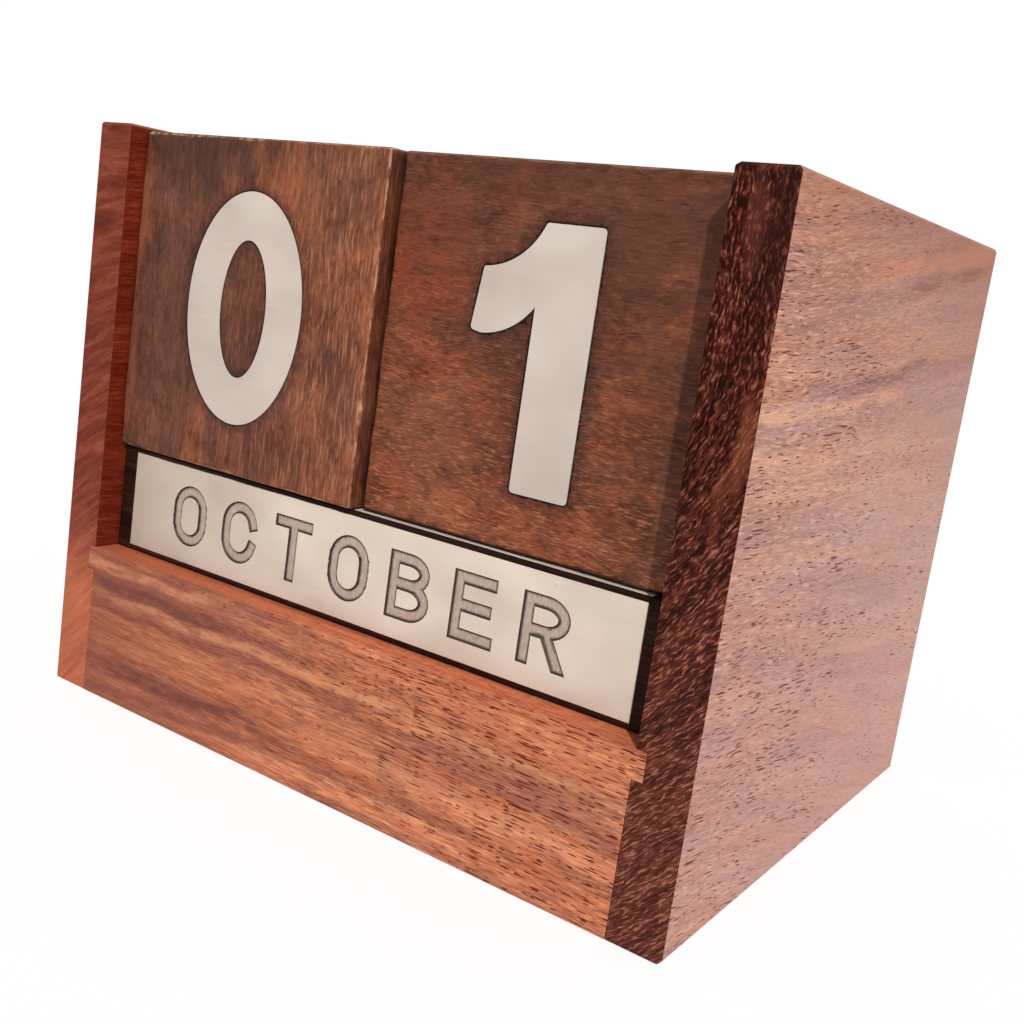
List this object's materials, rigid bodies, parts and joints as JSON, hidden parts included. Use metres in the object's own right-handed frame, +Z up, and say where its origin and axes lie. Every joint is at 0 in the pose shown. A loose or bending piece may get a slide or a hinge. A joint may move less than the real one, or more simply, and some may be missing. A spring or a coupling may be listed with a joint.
{
  "type": "perpetual desk calendar",
  "caption": "Hardwood desk frame holding loose date blocks with inlaid metal digits on loose month bars with metal plates; open bay behind.",
  "frame": {"origin": "on the surface that the calendar stands on, below the middle of the frame", "axes": "+X to the viewer's right along the front, +Y to the back, +Z up"},
  "size_m": [0.1272, 0.1018, 0.1016],
  "materials": {
    "side_wood": "satin lacquered hardwood",
    "rail_wood": "satin lacquered hardwood",
    "inner_wood": "satin lacquered hardwood",
    "block_wood": "satin lacquered dark hardwood",
    "bar_wood": "satin near-black hardwood",
    "digit_metal": "satin champagne metal",
    "plate_metal": "brushed champagne metal, engraved"
  },
  "bodies": {
    "frame": {"left_side_panel": "side_wood", "right_side_panel": "side_wood", "front_rail": "rail_wood", "floor_board": "inner_wood", "partition_board": "inner_wood", "back_board": "side_wood"},
    "left_block": {"left_date_block": "block_wood", "left_digit_0": "digit_metal", "left_digit_1": "digit_metal", "left_digit_2": "digit_metal", "left_digit_3": "digit_metal", "left_digit_4": "digit_metal", "left_digit_5": "digit_metal"},
    "right_block": {"right_date_block": "block_wood", "right_digit_0": "digit_metal", "right_digit_1": "digit_metal", "right_digit_2": "digit_metal", "right_digit_6": "digit_metal", "right_digit_7": "digit_metal", "right_digit_8": "digit_metal"},
    "rear_bar": {"rear_month_bar": "bar_wood", "month_plate_09": "plate_metal", "month_plate_10": "plate_metal", "month_plate_11": "plate_metal", "month_plate_12": "plate_metal"},
    "middle_bar": {"middle_month_bar": "bar_wood", "month_plate_05": "plate_metal", "month_plate_06": "plate_metal", "month_plate_07": "plate_metal", "month_plate_08": "plate_metal"},
    "front_bar": {"front_month_bar": "bar_wood", "month_plate_01": "plate_metal", "month_plate_02": "plate_metal", "month_plate_03": "plate_metal", "month_plate_04": "plate_metal"}
  },
  "joints": [
    {"name": "left_block_lift", "type": "slide", "parent": "frame", "child": "left_block", "axis": [0, 0, 1], "range_m": [0, 0.058]},
    {"name": "right_block_lift", "type": "slide", "parent": "frame", "child": "right_block", "axis": [0, 0, 1], "range_m": [0, 0.058]},
    {"name": "rear_bar_pull", "type": "slide", "parent": "frame", "child": "rear_bar", "axis": [0, -1, 0], "range_m": [0, 0.062]},
    {"name": "middle_bar_pull", "type": "slide", "parent": "rear_bar", "child": "middle_bar", "axis": [0, -1, 0], "range_m": [0, 0.0435]},
    {"name": "front_bar_pull", "type": "slide", "parent": "middle_bar", "child": "front_bar", "axis": [0, -1, 0], "range_m": [0, 0.025]}
  ]
}
